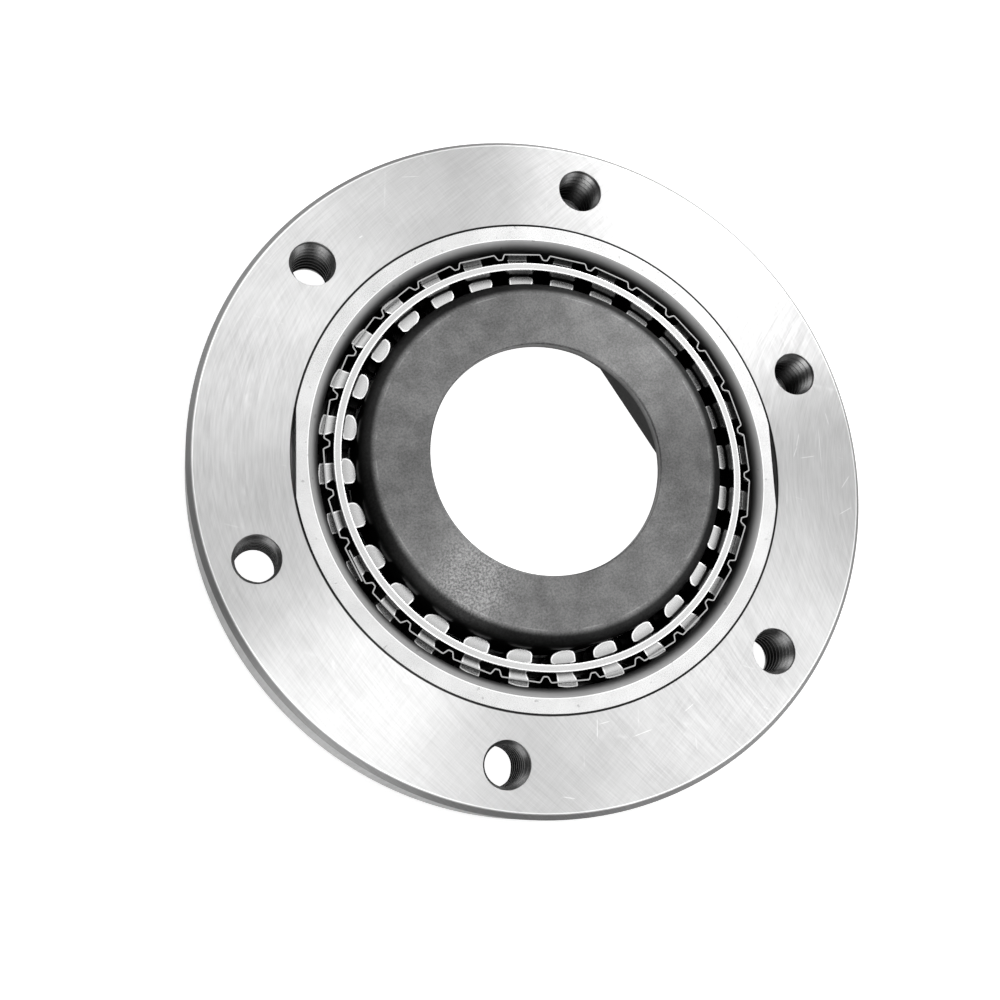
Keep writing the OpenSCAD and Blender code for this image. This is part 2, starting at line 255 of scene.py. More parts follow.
# %% Cut one mesh with another
def cut(mesh, tool, operation="DIFFERENCE"):
    """The mesh minus (or common with) the tool, with nothing left over in the scene."""
    body = bpy.data.objects.new("work_body", mesh)
    knife = bpy.data.objects.new("work_knife", tool)
    for obj in (body, knife):
        scene.collection.objects.link(obj)
    modifier = body.modifiers.new("cut", "BOOLEAN")
    modifier.object, modifier.operation, modifier.solver = knife, operation, "EXACT"
    result = plain_mesh(body)
    for obj in (body, knife):
        bpy.data.objects.remove(obj)
    return result


def plain_mesh(obj):
    """What the modifiers make of an object, as a mesh of its own."""
    bpy.context.view_layer.update()
    ready = obj.evaluated_get(bpy.context.evaluated_depsgraph_get())
    return bpy.data.meshes.new_from_object(ready)


print("cutting helpers:", names(cut, plain_mesh))

# %% [markdown]
# ## Geometry Nodes that go round the axis
# Threads, windows and tongues all repeat round the bearing's axis. One tree places copies of
# an object on a circle and either joins them to the piece or cuts them out of it. Its sizes
# are inputs, so the same tree serves the bolt holes, the cage and the spring.

# %% The tree that repeats round a circle
def round_tree(cutting):
    """Builds the tree that cuts, or else places, its copies, and its sockets by title."""
    tree = bpy.data.node_groups.new("cut_round" if cutting else "place_round", "GeometryNodeTree")
    sockets = {}
    for title, kind in (
        ("Piece", "NodeSocketGeometry"), ("Copied", "NodeSocketObject"), ("Count", "NodeSocketInt"),
        ("Circle radius", "NodeSocketFloat"), ("First angle", "NodeSocketFloat"),
        ("Finish", "NodeSocketMaterial"),
    ):
        sockets[title] = tree.interface.new_socket(title, in_out="INPUT", socket_type=kind)
    tree.interface.new_socket("Piece", in_out="OUTPUT", socket_type="NodeSocketGeometry")
    given = node(tree, "NodeGroupInput").outputs
    circle = node(tree, "GeometryNodeMeshCircle", {
        "Vertices": given["Count"], "Radius": given["Circle radius"]})
    step = calc(tree, "DIVIDE", 2 * math.pi, given["Count"])
    turn = calc(tree, "MULTIPLY", node(tree, "GeometryNodeInputIndex").outputs[0], step)
    copied = node(
        tree, "GeometryNodeObjectInfo", {"Object": given["Copied"]}, transform_space="ORIGINAL")
    copies = node(tree, "GeometryNodeInstanceOnPoints", {
        "Points": circle.outputs["Mesh"],
        "Instance": copied.outputs["Geometry"],
        "Rotation": node(tree, "ShaderNodeCombineXYZ", {"Z": turn}).outputs[0],
    })
    start = node(tree, "ShaderNodeCombineXYZ", {"Z": calc(tree, "RADIANS", given["First angle"])})
    turned_copies = node(tree, "GeometryNodeTransform", {
        "Geometry": copies.outputs[0], "Rotation": start.outputs[0]})
    solid = node(tree, "GeometryNodeRealizeInstances", {"Geometry": turned_copies.outputs[0]})
    if cutting:
        joined = node(tree, "GeometryNodeMeshBoolean", operation="DIFFERENCE", solver="EXACT")
        tree.links.new(given["Piece"], joined.inputs["Mesh 1"])
        tree.links.new(solid.outputs[0], joined.inputs["Mesh 2"])
    else:
        joined = node(tree, "GeometryNodeJoinGeometry")
        tree.links.new(solid.outputs[0], joined.inputs[0])
        tree.links.new(given["Piece"], joined.inputs[0])
    whole = node(tree, "GeometryNodeRealizeInstances", {"Geometry": joined.outputs[0]})
    dressed = node(tree, "GeometryNodeSetMaterial", {
        "Geometry": whole.outputs[0], "Material": given["Finish"]})
    tree.links.new(dressed.outputs[0], node(tree, "NodeGroupOutput").inputs[0])
    return tree, sockets


CUT_ROUND, PLACE_ROUND = round_tree(True), round_tree(False)
print("trees:", CUT_ROUND[0].name, PLACE_ROUND[0].name)

# %% Run a tree on a piece
def go_round(mesh, copied_mesh, tree_and_sockets, count, radius, first_angle, finish):
    """Runs one of the two trees on a mesh and hands back a plain mesh."""
    tree, sockets = tree_and_sockets
    body = bpy.data.objects.new("work_body", mesh)
    copied = bpy.data.objects.new("work_copied", copied_mesh)
    for obj in (body, copied):
        scene.collection.objects.link(obj)
    modifier = body.modifiers.new("round", "NODES")
    modifier.node_group = tree
    for title, value in (
        ("Copied", copied), ("Count", count), ("Circle radius", radius * MM),
        ("First angle", first_angle), ("Finish", finish),
    ):
        modifier[sockets[title].identifier] = value
    result = plain_mesh(body)
    for obj in (body, copied):
        bpy.data.objects.remove(obj)
    return painted(result, finish)


def painted(mesh, finish):
    """Leaves one material slot on the mesh, with the finish in it."""
    mesh.materials.clear()
    mesh.materials.append(finish)
    mesh.polygons.foreach_set("material_index", [0] * len(mesh.polygons))
    return mesh


print("inputs of a tree:", list(CUT_ROUND[1]))

# %% [markdown]
# ## Finishes
# All metal here is one shader with different surface work. Each finish starts from the same
# steel and adds its own marks on Object coordinates, which stay put when a piece is exported.
# An image could carry the marks too, but noise and short formulas stay sharp at any distance.

# %% Steel to start from
def steel(name, colour, rough, metallic=1.0, anisotropic=0.0):
    """A material with its shader, and the coordinates that its marks are drawn on."""
    finish = bpy.data.materials.new(name)
    finish.use_nodes = True
    tree = finish.node_tree
    tree.nodes.clear()
    shader = node(tree, "ShaderNodeBsdfPrincipled", {
        "Metallic": metallic, "Roughness": rough, "Base Color": (*[colour] * 3, 1),
        "Anisotropic": anisotropic, "Anisotropic Rotation": 0.25,
    })
    output = node(tree, "ShaderNodeOutputMaterial")
    tree.links.new(shader.outputs[0], output.inputs[0])
    place = node(tree, "ShaderNodeTexCoord").outputs["Object"]
    return finish, tree, shader, place


def noise(tree, place, scale, detail=3.0, roughness=0.55, stretch=None):
    """Noise per millimetre, stretched along the axes if asked."""
    where = vector_calc(tree, "MULTIPLY", place, stretch or (1000.0, 1000.0, 1000.0))
    made = node(tree, "ShaderNodeTexNoise", {
        "Vector": where, "Scale": scale, "Detail": detail, "Roughness": roughness})
    return made.outputs[0]


def grey(tree, value):
    """A number as a colour."""
    return node(tree, "ShaderNodeCombineColor", {0: value, 1: value, 2: value}).outputs[0]


def bump(tree, shader, height, depth):
    """Height in 0..1 becomes relief of depth millimetres."""
    made = node(tree, "ShaderNodeBump", {"Height": height, "Distance": depth * MM, "Strength": 1.0})
    tree.links.new(made.outputs[0], shader.inputs["Normal"])


print("finish helpers:", names(steel, noise, grey, bump))

# %% [markdown]
# ### Scratches and strokes
# Handling leaves two kinds of marks: a haze of hair scratches and a few plain strokes. The haze
# is found where a stretched noise crosses its middle value. A stroke has its own place, so it
# is drawn from the distance to a short line.

# %% Scratches and strokes
def turned_place(tree, place, degrees):
    """The place, turned about the bearing's axis."""
    return node(tree, "ShaderNodeVectorRotate", {"Vector": place, "Angle": math.radians(degrees)},
                rotation_type="Z_AXIS").outputs[0]


def scratches(tree, place, turn, spacing, amount):
    """Thin broken lines that run one way."""
    along = turned_place(tree, place, turn)
    line = noise(tree, along, 1.0, detail=0.0, stretch=(60.0 / spacing, 1000.0 / spacing, 400.0))
    from_middle = calc(tree, "ABSOLUTE", calc(tree, "SUBTRACT", line, 0.5))
    part = ramp(tree, noise(tree, along, 0.3, detail=1.0), amount, amount + 0.12)
    return times(tree, ramp(tree, from_middle, 0.0, 0.012, 1.0, 0.0), part)


def stroke(tree, place, x, y, turn, length, width):
    """One handling mark: 1 on a short straight line, fading at its sides and ends."""
    off = vector_calc(tree, "SUBTRACT", place, (x * MM, y * MM, 0.0))
    cos, sin = math.cos(math.radians(turn)), math.sin(math.radians(turn))
    along = calc(tree, "ABSOLUTE", vector_calc(tree, "DOT_PRODUCT", off, (cos, sin, 0.0)))
    across = calc(tree, "ABSOLUTE", vector_calc(tree, "DOT_PRODUCT", off, (-sin, cos, 0.0)))
    ends = ramp(tree, along, length * 0.25 * MM, length * 0.5 * MM, 1.0, 0.0)
    return times(tree, ends, ramp(tree, across, width * 0.2 * MM, width * MM, 1.0, 0.0))


print("mark helpers:", names(turned_place, scratches, stroke))

# %% [markdown]
# ### Ground steel for the flange
# The face was turned, then passed under a grinding wheel. The turning shows as highlights in
# two opposite sectors, which anisotropy round the axis gives. The wheel leaves long arcs that
# are all the same curve set side by side, so the marks are drawn on the distance across that
# curve.

# %% Where on the piece
def radius_of(tree, place):
    """Distance from the bearing's axis, and the height."""
    x, y, z = node(tree, "ShaderNodeSeparateXYZ", {0: place}).outputs
    return calc(tree, "SQRT", plus(tree, times(tree, x, x), times(tree, y, y))), z


def ramp_mm(tree, value, low, high, *ends, **how):
    """A ramp whose two places are in millimetres."""
    return ramp(tree, value, low * MM, high * MM, *ends, **how)


def band(tree, value, middle, half, soft):
    """1 within half of the middle, fading to 0 over soft, all in millimetres."""
    off = calc(tree, "ABSOLUTE", calc(tree, "SUBTRACT", value, middle * MM))
    return ramp_mm(tree, off, half, half + soft, 1.0, 0.0)


def seam_line(tree, radius):
    """Dark at the joint between flange and race, and 1 elsewhere."""
    gap = band(tree, radius, RACE_OUTER_R, 0.16, 0.08)
    return calc(tree, "SUBTRACT", 1.0, times(tree, gap, 0.93))


print("place helpers:", names(radius_of, ramp_mm, band, seam_line))

# %% Highlights, colour and gloss
def round_the_axis(tree, shader):
    """Stretches the highlight the way that turning marks do."""
    tangent = node(tree, "ShaderNodeTangent", direction_type="RADIAL", axis="Z")
    tree.links.new(tangent.outputs[0], shader.inputs["Tangent"])


def paint(tree, shader, tone, rough=None):
    """Gives the shader a grey tone and, where it varies, a roughness."""
    tree.links.new(grey(tree, tone), shader.inputs["Base Color"])
    if rough:
        tree.links.new(rough, shader.inputs["Roughness"])


print("shader helpers:", names(round_the_axis, paint))

# %% Grinding marks
# Direction of the wheel's path in degrees, and the radius of its arcs in millimetres
GRIND_TURN, GRIND_R = 22.3, 47.0
# Handling marks: place x and y, direction in degrees, length and half width, in millimetres
MARKS = (
    (47.0, -11.8, -126, 3.2, 0.20), (45.6, -13.6, -134, 2.6, 0.14), (47.5, -15.3, -11, 3.4, 0.14),
    (50.7, -14.4, -111, 9.0, 0.10), (40.6, -20.2, -116, 5.5, 0.10), (52.7, -22.0, 32, 3.6, 0.14),
    (50.2, -26.9, 7, 3.4, 0.12), (54.5, -9.9, -99, 2.8, 0.12), (-9.5, -45.3, -113, 4.0, 0.12),
    (-7.9, -44.9, -7, 2.2, 0.10), (-2.4, -48.9, -2, 4.2, 0.12), (-18.4, -53.7, -30, 2.5, 0.14),
    (7.1, -48.1, 17, 2.6, 0.10), (-16.3, 47.4, 18, 0.9, 0.16), (-3.7, 55.8, -12, 3.8, 0.08),
)


def brush_marks(tree, place):
    """Grain of the grinding wheel: long arcs and short strokes along them."""
    along = turned_place(tree, place, GRIND_TURN)
    x, y, z = node(tree, "ShaderNodeSeparateXYZ", {0: along}).outputs
    bow = calc(tree, "DIVIDE", times(tree, y, y), 2 * GRIND_R * MM)
    across = calc(tree, "SUBTRACT", x, bow)
    back = plus(tree, x, times(tree, bow, 0.8))
    total = 0.0
    for side, stretch, share in (
        (across, (2200.0, 60.0, 100.0), 0.30), (across, (3400.0, 260.0, 100.0), 0.45),
        (back, (2800.0, 180.0, 100.0), 0.25),
    ):
        on = node(tree, "ShaderNodeCombineXYZ", {"X": side, "Y": y, "Z": z}).outputs[0]
        grain = noise(tree, on, 1.0, detail=3.0, stretch=stretch)
        total = plus(tree, total, times(tree, grain, share))
    return total


def handling_marks(tree, place):
    """Fine random scratches, and the strokes of the list above."""
    fine = calc(tree, "MAXIMUM", scratches(tree, place, 35, 9.0, 0.60),
                scratches(tree, place, -68, 7.0, 0.60))
    marks = times(tree, fine, 0.35)
    for x, y, turn, length, width in MARKS:
        marks = calc(tree, "MAXIMUM", marks, stroke(tree, place, x, y, turn, length, width))
    return marks


print("handling marks:", len(MARKS))

# %% Flange finish
def flange_finish():
    """A ground face with marks and a painted highlight on its edge, painted shade on the rim and
    the bore wall, and a dark seam.
    """
    finish, tree, shader, place = steel("ground_flange", 0.6, 0.45, anisotropic=0.9)
    round_the_axis(tree, shader)
    radius, height = radius_of(tree, place)
    brush, marks = brush_marks(tree, place), handling_marks(tree, place)
    cloud = noise(tree, place, 0.07, detail=4.0)
    tone = plus(tree, ramp(tree, brush, 0.35, 0.65, 0.54, 0.64, smooth=False),
                ramp(tree, cloud, 0.3, 0.7, -0.03, 0.03), times(tree, marks, 0.18))
    # The bevels and the outer wall are painted darker than the face as shade, the wall a little
    # less.
    face = ramp_mm(tree, height, FLANGE_T - 0.25, FLANGE_T - 0.05)
    wall = ramp_mm(tree, height, FLANGE_T - 1.1, FLANGE_T - 0.95, 0.16, 0.0)
    tone = times(tree, tone, plus(tree, ramp(tree, face, 0.0, 1.0, 0.42, 1.0), wall))
    # A painted highlight along the face's outer edge.
    face_edge_highlight = times(tree, face, band(tree, radius, FLANGE_R - RIM_BEVEL - 0.08, 0.07, 0.06))
    tone = plus(tree, tone, times(tree, face_edge_highlight, 0.35))
    # The bore wall below the face stays dark grey, a painted shade in the gap by the race's flats.
    bore = times(tree, ramp_mm(tree, radius, RACE_OUTER_R + 0.5, RACE_OUTER_R + 0.6, 0.12, 0.0),
                 ramp_mm(tree, height, FLANGE_T - 0.35, FLANGE_T - 0.25, 1.0, 0.0))
    tone = plus(tree, times(tree, tone, seam_line(tree, radius)), bore)
    paint(tree, shader, tone, ramp(tree, brush, 0.35, 0.65, 0.50, 0.40))
    bump(tree, shader, calc(tree, "SUBTRACT", brush, times(tree, marks, 0.4)), 0.004)
    return finish


def thread_finish():
    """Dark threads, painted darker the deeper they lie, as shade in the hole."""
    finish, tree, shader, place = steel("cut_thread", 0.16, 0.3)
    height = radius_of(tree, place)[1]
    # Painted shade: darker the deeper in the hole.
    hole_depth_shade = ramp_mm(tree, height, 5, FLANGE_T, 0.02, 0.22)
    paint(tree, shader, times(tree, ramp(tree, noise(tree, place, 4.0), 0.3, 0.7, 0.8, 1.2), hole_depth_shade))
    return finish


FLANGE_STEEL = flange_finish()
THREAD_STEEL = thread_finish()
print("finishes:", FLANGE_STEEL.name, THREAD_STEEL.name)

# %% [markdown]
# ### Satin steel for the outer race
# The race's front is stoned to a plain satin with a few stains. Its rounded mouth is painted dark
# as shade, with a painted highlight on its lip, and the walls of its two flats get a lighter tone,
# a painted light. Mouth and walls are rougher than the face. One material with zones by radius
# and height does that. Several materials on chosen faces could too, but their borders would
# follow the mesh.

# %% Race finish
def race_finish():
    """Satin face with a painted highlight on the lip, a rough mouth painted dark as shade, and
    rough flat walls painted lighter as light.
    """
    finish, tree, shader, place = steel("satin_race", 0.8, 0.33)
    radius, height = radius_of(tree, place)
    grain = noise(tree, place, 6.0, detail=4.0)
    cloud = noise(tree, place, 0.15)
    stain = ramp(tree, noise(tree, place, 1.3, detail=0.0), 0.80, 0.83)
    tone = plus(tree, ramp(tree, cloud, 0.3, 0.7, 0.57, 0.65),
                ramp(tree, grain, 0.3, 0.7, -0.04, 0.04))
    tone = calc(tree, "SUBTRACT", tone, times(tree, stain, 0.15))
    # A painted highlight on the lip of the mouth.
    lip = band(tree, radius, MOUTH_END_R + 0.1, 0.06, 0.06)
    # Painted shade: the mouth darkens toward the bore.
    mouth_shade = calc(
        tree, "MAXIMUM",
        ramp_mm(tree, radius, RACE_BORE_R, MOUTH_END_R - 0.15, 0.13, 0.44, smooth=False),
        ramp_mm(tree, radius, MOUTH_END_R - 0.1, MOUTH_END_R + 0.05))
    tone = times(tree, plus(tree, tone, times(tree, 0.2, lip)), mouth_shade)
    # The walls of the flats get a lighter tone, a painted light, and are rougher.
    flat = times(tree, ramp_mm(tree, radius, RACE_FLAT_R - 0.13, RACE_FLAT_R - 0.03),
                 ramp_mm(tree, height, FLANGE_T - 0.3, FLANGE_T - 0.2, 1.0, 0.0))
    tone = plus(tree, times(tree, tone, seam_line(tree, radius)), times(tree, flat, 0.3))
    dull = calc(tree, "MAXIMUM", flat,
                ramp_mm(tree, radius, MOUTH_END_R - 0.4, MOUTH_END_R - 0.05, 1.0, 0.0))
    rough = plus(tree, ramp(tree, grain, 0.3, 0.7, 0.24, 0.34), times(tree, dull, 0.3))
    paint(tree, shader, tone, rough)
    bump(tree, shader, grain, 0.004)
    return finish


RACE_STEEL = race_finish()
print("finish:", RACE_STEEL.name)

# %% [markdown]
# ### Bright ends on the cage, the spring and the snap ring
# These are stamped from sheet and ground on their front ends. So one finish serves all three:
# bright down to a set height, and below it painted dark as shade in the gap between the races.
# The cage's two edges get a painted highlight.

# %% Finish with a bright end
def bright_finish(name, bright, dark, top, rough, edge=0.0, middle_r=0.0, edge_half=0.0):
    """Bright at the height top and painted dark as shade below it, with a painted highlight on the
    edges if edge is given.
    """
    finish, tree, shader, place = steel(name, bright, rough)
    radius, height = radius_of(tree, place)
    grain = noise(tree, place, 5.0, detail=4.0)
    # Below the top the sides are painted dark, as shade in the gap between the races.
    front = ramp_mm(tree, height, top - 0.55, top - 0.15, dark, bright)
    tone = times(tree, front, ramp(tree, grain, 0.3, 0.7, 0.92, 1.05))
    if edge:
        # A painted highlight on both edges of the end.
        edge_highlight = calc(tree, "SUBTRACT", 1.0, band(tree, radius, middle_r, edge_half, 0.1))
        rim = times(tree, edge_highlight, ramp_mm(tree, height, top - 0.3, top - 0.1))
        tone = plus(tree, tone, times(tree, rim, edge - bright))
    paint(tree, shader, tone, ramp(tree, grain, 0.3, 0.7, rough - 0.04, rough + 0.06))
    bump(tree, shader, grain, 0.003)
    return finish


CAGE_STEEL = bright_finish("bright_cage", 0.52, 0.04, CAGE_TOP, 0.25, edge=0.9,
                           middle_r=(CAGE_IN_R + CAGE_OUT_R) / 2, edge_half=0.36)
STRIP_STEEL = bright_finish("spring_strip_steel", 0.36, 0.04, CAGE_TOP, 0.25)
RING_STEEL = bright_finish("dark_ring", 0.3, 0.2, RING_TOP, 0.35)
print("finishes:", CAGE_STEEL.name, STRIP_STEEL.name, RING_STEEL.name)

# %% [markdown]
# ### Tumbled steel for the sprags
# Sprags are tumbled in stones, which rounds the edges round their ends. The mesh stores 1 on
# those edges in an attribute, and the finish paints a highlight there. The sides are painted
# near black as shade, and the ends get painted shade where they run under the cage and behind
# the spring.

# %% Sprag finish
def sprag_finish():
    """Bright ends with painted highlights on their edges, and painted shade on the sides, toward
    the cage and behind the spring.
    """
    finish, tree, shader, place = steel("tumbled_sprag", 0.5, 0.3)
    radius, height = radius_of(tree, place)
    grain = noise(tree, place, 5.0, detail=4.0)
    # The attribute marks the rounded edges, where a highlight is painted.
    edge_highlight = node(tree, "ShaderNodeAttribute", attribute_name="edge_highlight").outputs["Fac"]
    # The sides below the end are painted near black as shade.
    end = ramp_mm(tree, height, SPRAG_HIGH - 0.4, SPRAG_HIGH - 0.1, 0.04, 0.52)
    tone = times(tree, end, ramp(tree, grain, 0.3, 0.7, 0.92, 1.06),
                 ramp(tree, edge_highlight, 0.0, 1.0, 1.0, 1.85, smooth=False))
    # Painted shade: the foot darkens toward the cage and is black under it; the head is darkest by
    # the cage and darker past the spring.
    foot = times(tree, ramp_mm(tree, radius, 33.2, 34.6, 1.08, 0.8),
                 ramp_mm(tree, radius, 34.7, 34.9, 1.0, 0.06))
    head_shade = times(tree, ramp_mm(tree, radius, 36.3, 37.5, 0.35, 1.15),
                 ramp_mm(tree, radius, 38.1, 38.3, 1.0, 0.6), ramp_mm(tree, radius, 35.8, 35.9))
    tone = times(tree, tone, calc(tree, "MAXIMUM", foot, head_shade))
    paint(tree, shader, tone, ramp(tree, grain, 0.3, 0.7, 0.24, 0.34))
    bump(tree, shader, grain, 0.003)
    return finish


SPRAG_STEEL = sprag_finish()
print("finish:", SPRAG_STEEL.name)

# %% [markdown]
# ### Phosphate for the inner race
# The hub comes out of a phosphate bath dark grey and blotched, with fine crystals that sparkle
# a little. One patch and a thin ring at the shoulder's edge get a painted highlight, and the
# shoulder is painted darker as shade. Two noises, one coarse and one fine, make the blotches and
# the crystals.

# %% Hub finish
# Middle of the painted highlight patch, and the radius of the painted highlight ring, in
# millimetres
HIGHLIGHT_PATCH_AT, HIGHLIGHT_RING_R = (-20.5, -15.5, HUB_TOP), 29.75


def hub_finish():
    """Blotched dark grey with crystals, a painted highlight patch and ring, and painted shade on
    the shoulder.
    """
    finish, tree, shader, place = steel("dark_phosphate", 0.15, 0.45, anisotropic=0.8)
    round_the_axis(tree, shader)
    radius, height = radius_of(tree, place)
    speck = noise(tree, place, 2.6, detail=6.0, roughness=0.7)
    blotch = noise(tree, place, 0.22, detail=6.0, roughness=0.65)
    tone = times(tree, ramp(tree, blotch, 0.3, 0.7, 0.125, 0.18),
                 ramp(tree, speck, 0.3, 0.7, 0.72, 1.3))
    middle = tuple(v * MM for v in HIGHLIGHT_PATCH_AT)
    off = vector_calc(tree, "LENGTH", vector_calc(tree, "SUBTRACT", place, middle))
    # A painted highlight patch.
    patch = times(tree, ramp_mm(tree, off, 3, 9, 1.0, 0.0), ramp(tree, speck, 0.42, 0.6))
    # A painted highlight ring at the shoulder's edge.
    ring = times(tree, band(tree, radius, HIGHLIGHT_RING_R, 0.05, 0.1),
                 ramp(tree, blotch, 0.45, 0.6, 0.0, 0.07))
    tone = plus(tree, tone, times(tree, patch, 0.1), ring)
    # Painted shade: the shoulder darkens outwards and downwards.
    shoulder_depth_shade = ramp_mm(tree, height, HUB_TOP - 2.5, HUB_TOP - 0.2, 0.12, 1.0)
    shoulder = ramp_mm(tree, radius, 29.8, 30.9, 1.0, 0.14)
    paint(tree, shader, times(tree, tone, shoulder_depth_shade, shoulder), ramp(tree, speck, 0.3, 0.7, 0.40, 0.52))
    bump(tree, shader, speck, 0.01)
    return finish


HUB_PHOSPHATE = hub_finish()
print("finish:", HUB_PHOSPHATE.name)

# %% [markdown]
# ## The flange
# A round plate with a bevel on both rims, a plain round bore and six threaded holes. The plate
# is turned and the tree drills it. Six Boolean cuts by hand would give the same holes, but the
# tree keeps their number and their circle as inputs. They are drilled at the thread's root, so
# that the next step can lay a ridge in each.

# %% Turn and drill the flange
BORE_R = RACE_OUTER_R + 0.03
flange_outline = rounded([
    (BORE_R, 0, 0.1), (FLANGE_R - RIM_BEVEL, 0, 0.1), (FLANGE_R, RIM_BEVEL, 0.15),
    (FLANGE_R, FLANGE_T - RIM_BEVEL, 0.15), (FLANGE_R - RIM_BEVEL, FLANGE_T, 0.12),
    (BORE_R, FLANGE_T, 0.15),
])
HOLE_EDGE = 0.05
HOLE_MOUTH_R = THREAD_ROOT_R + HOLE_EDGE
drill_outline = [
    (0.0, -1.0), (HOLE_MOUTH_R, -1.0), (HOLE_MOUTH_R, 0.0), (THREAD_ROOT_R, HOLE_EDGE),
    (THREAD_ROOT_R, FLANGE_T - HOLE_EDGE), (HOLE_MOUTH_R, FLANGE_T),
    (HOLE_MOUTH_R, FLANGE_T + 1.0), (0.0, FLANGE_T + 1.0),
]


def closed_turn(name, outline, steps):
    """Turns an outline whose first and last points lie on the axis into a closed body."""
    mesh = turned(name, outline, steps)
    face_outwards(mesh, merge=1e-7)
    return mesh


flange_mesh = go_round(
    turned("flange_plate", flange_outline), closed_turn("drill", drill_outline, 48),
    CUT_ROUND, BOLT_COUNT, BOLT_CIRCLE_R, 0.0, FLANGE_STEEL)
flange = to_object("flange_plate", flange_mesh, sharp=25)
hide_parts("mounting_flange")
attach(flange, "housing")
print("flange faces:", len(flange.data.polygons))

# %% [markdown]
# ## The threads
# A tapped thread is one helical ridge from end to end of the hole. The Screw modifier can turn
# a small section into a helix but leaves its ends cut off square. A loop that steps the section
# round and up can also sink it into the wall at both ends, as a tap's run-out does.

# %% Wind a ridge and set it in every hole
def square_tube(name, points):
    """Skin over rows of four points each, closed at both ends."""
    last = len(points) - 4
    faces = [(0, 1, 2, 3), (last, last + 1, last + 2, last + 3)]
    faces += [(k + s, k + (s + 1) % 4, k + 4 + (s + 1) % 4, k + 4 + s)
              for k in range(0, last, 4) for s in range(4)]
    return new_mesh(name, points, faces)


def thread_ridge(steps=40, fade_steps=10, end_gap=0.75):
    """A helical ridge with a 60 degree profile that stands on the wall of one hole."""
    half = THREAD_PITCH / 2 * 0.96
    foot, crest = THREAD_ROOT_R + 0.12, THREAD_CREST_R + 0.06
    profile = [(foot, -half), (crest, -0.07), (crest, 0.07), (foot, half)]
    sunk = THREAD_ROOT_R + 0.1
    count = int((FLANGE_T - 2 * end_gap) / THREAD_PITCH * steps)
    points = []
    for s in range(count + 1):
        a, z = 2 * math.pi * s / steps, end_gap + THREAD_PITCH * s / steps
        fade = min(1, s / fade_steps, (count - s) / fade_steps)
        for r, rise in profile:
            r = r if r > THREAD_ROOT_R else sunk - (sunk - r) * fade
            rise *= 0.2 + 0.8 * fade
            points.append((r * math.cos(a) * MM, r * math.sin(a) * MM, (z + rise) * MM))
    return square_tube("thread_ridge", points)


thread_mesh = go_round(bpy.data.meshes.new("no_piece"), thread_ridge(),
                       PLACE_ROUND, BOLT_COUNT, BOLT_CIRCLE_R, 0.0, THREAD_STEEL)
threads = to_object("bolt_threads", thread_mesh, sharp=30)
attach(threads, "housing")
print("thread faces:", len(threads.data.polygons))

# %% [markdown]
# ## The outer race
# A turned ring with a rounded mouth, a seat and a groove at the rear, and two flats on its rim
# that leave a dark sliver beside the flange's round bore. The flats could be modelled by moving
# points, but cutting the ring with a slab is what a milling machine does, and it keeps both
# walls flat.

# %% Turn the outer race and cut its flats
def arc(cx, cy, r, start, end, steps):
    """Points on an arc, from one angle to another in degrees."""
    angles = [math.radians(start + (end - start) * s / steps) for s in range(steps + 1)]
    return [(cx + r * math.cos(a), cy + r * math.sin(a)) for a in angles]


def block(low_x, high_x, low_y, high_y):
    """Outline of a rectangle."""
    return [(low_x, low_y), (high_x, low_y), (high_x, high_y), (low_x, high_y)]


RACE_EDGE = 0.2
race_outline = (
    [(SEAT_R, 0.0), (SEAT_R, GROOVE_LOW), (GROOVE_R, GROOVE_LOW), (GROOVE_R, GROOVE_HIGH),
     (SEAT_R, GROOVE_HIGH), (SEAT_R, SEAT_TOP), (RACE_BORE_R, SEAT_TOP)]
    + arc(MOUTH_END_R, FLANGE_T - RACE_MOUTH_R, RACE_MOUTH_R, 180, 90, 14)
    + [(MOUTH_END_R + HOLD, FLANGE_T), (RACE_OUTER_R - RACE_EDGE - HOLD, FLANGE_T),
       (RACE_OUTER_R - RACE_EDGE, FLANGE_T), (RACE_OUTER_R - 0.08, FLANGE_T - 0.05),
       (RACE_OUTER_R, FLANGE_T - RACE_EDGE), (RACE_OUTER_R, RACE_EDGE),
       (RACE_OUTER_R - RACE_EDGE, 0.0)]
)
turn = Matrix.Rotation(math.radians(RACE_FLAT_TURN), 2)
slab = [tuple(turn @ Vector(p)) for p in block(-RACE_FLAT_R, RACE_FLAT_R, -50, 50)]
race_mesh = cut(turned("outer_race_ring", race_outline),
                prism("slab", slab, -1, FLANGE_T + 1), "INTERSECT")
race = to_object("outer_race_ring", race_mesh, sharp=25)
painted(race.data, RACE_STEEL)
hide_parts("outer_race")
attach(race, "housing")
print("race faces:", len(race.data.polygons))

# %% [markdown]
# ## The cage
# A real cage is stamped and rolled from sheet: a thin ring with a rear collar and a window for
# each sprag. Bending a flat strip round the axis would copy that, but turning the ring and
# letting the tree cut 28 windows keeps its wall exactly round.

# %% Turn the cage and cut its windows
cage_outline = rounded([
    (COLLAR_IN_R, COLLAR_LOW, 0.1), (COLLAR_OUT_R, COLLAR_LOW, 0.1),
    (COLLAR_OUT_R, COLLAR_HIGH, 0.1), (CAGE_OUT_R, COLLAR_HIGH, 0.1),
    (CAGE_OUT_R, CAGE_TOP, 0.12), (CAGE_IN_R, CAGE_TOP, 0.12),
    (CAGE_IN_R, COLLAR_HIGH, 0.1), (COLLAR_IN_R, COLLAR_HIGH, 0.1),
])
window = prism("window", block(-WINDOW_REACH, WINDOW_REACH, WINDOW_TRAIL, WINDOW_LEAD),
               WINDOW_LOW, WINDOW_HIGH)
cage_mesh = go_round(turned("cage_ring", cage_outline), window,
                     CUT_ROUND, SPRAG_COUNT, PITCH_R, SPRAG_START, CAGE_STEEL)
cage = to_object("cage_ring", cage_mesh, sharp=25)
